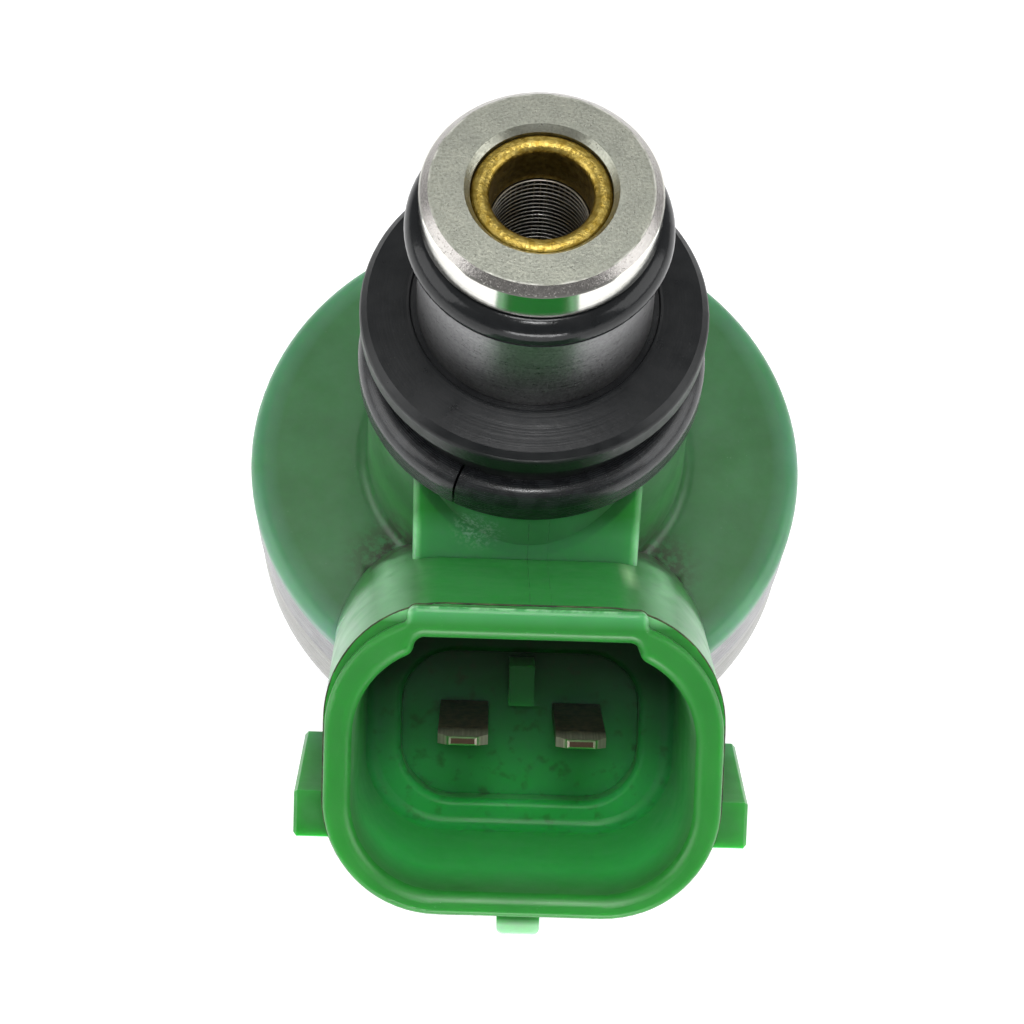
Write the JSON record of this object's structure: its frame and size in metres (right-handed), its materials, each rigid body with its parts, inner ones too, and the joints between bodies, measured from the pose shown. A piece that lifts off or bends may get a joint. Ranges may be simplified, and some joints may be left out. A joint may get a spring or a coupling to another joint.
{
  "type": "fuel injector",
  "caption": "Top-feed solenoid fuel injector with sealed metal inlet, plastic overmould, angled pin socket, steel coil housing and a sprung needle valve.",
  "frame": {"origin": "centre of the flat end face of the inlet tube, on the injector's axis", "axes": "+Z along the injector's axis, out of the fuel inlet; -Y towards the side the connector leaves on; the connector's rim normal lies in the Y-Z plane, 56 degrees above horizontal"},
  "size_m": [0.028, 0.0412, 0.063],
  "materials": {
    "machined_steel": "turned, satin",
    "dark_steel": "dark plated",
    "housing_steel": "plated, satin",
    "brass": "sintered, lightly worn",
    "seal_rubber": "oiled black",
    "black_plastic": "moulded black",
    "green_plastic": "moulded green, semi gloss",
    "bobbin_plastic": "moulded",
    "terminal_metal": "tinned, tarnished",
    "copper_wire": "enamelled copper wire",
    "dark_mesh": "fine woven wire",
    "spring_steel": "drawn wire"
  },
  "bodies": {
    "injector_body": {"inlet_tube": "machined_steel", "filter_collar": "brass", "filter_frame": "black_plastic", "filter_mesh": "dark_mesh", "rail_oring": "seal_rubber", "upper_grommet": "seal_rubber", "split_spacer_ring": "black_plastic", "overmould_body": "green_plastic", "terminal_left": "terminal_metal", "terminal_right": "terminal_metal", "flux_plate": "dark_steel", "steel_housing": "housing_steel", "coil_bobbin": "bobbin_plastic", "coil_winding": "copper_wire", "bobbin_oring_upper": "seal_rubber", "bobbin_oring_lower": "seal_rubber", "nonmagnetic_sleeve": "housing_steel", "adjuster_tube": "brass", "return_spring": "spring_steel", "valve_body": "machined_steel", "valve_seat": "machined_steel", "orifice_plate": "machined_steel", "nozzle_oring": "seal_rubber", "manifold_insulator": "seal_rubber", "nozzle_cap": "black_plastic"},
    "needle_assembly": {"armature": "dark_steel", "valve_needle": "machined_steel"}
  },
  "joints": [
    {"name": "needle_lift", "type": "slide", "parent": "injector_body", "child": "needle_assembly", "axis": [0, 0, 1], "range_m": [0, 0.00012], "stiffness_N_per_m": 400, "springref_m": -0.004, "deforming": ["return_spring"]}
  ]
}
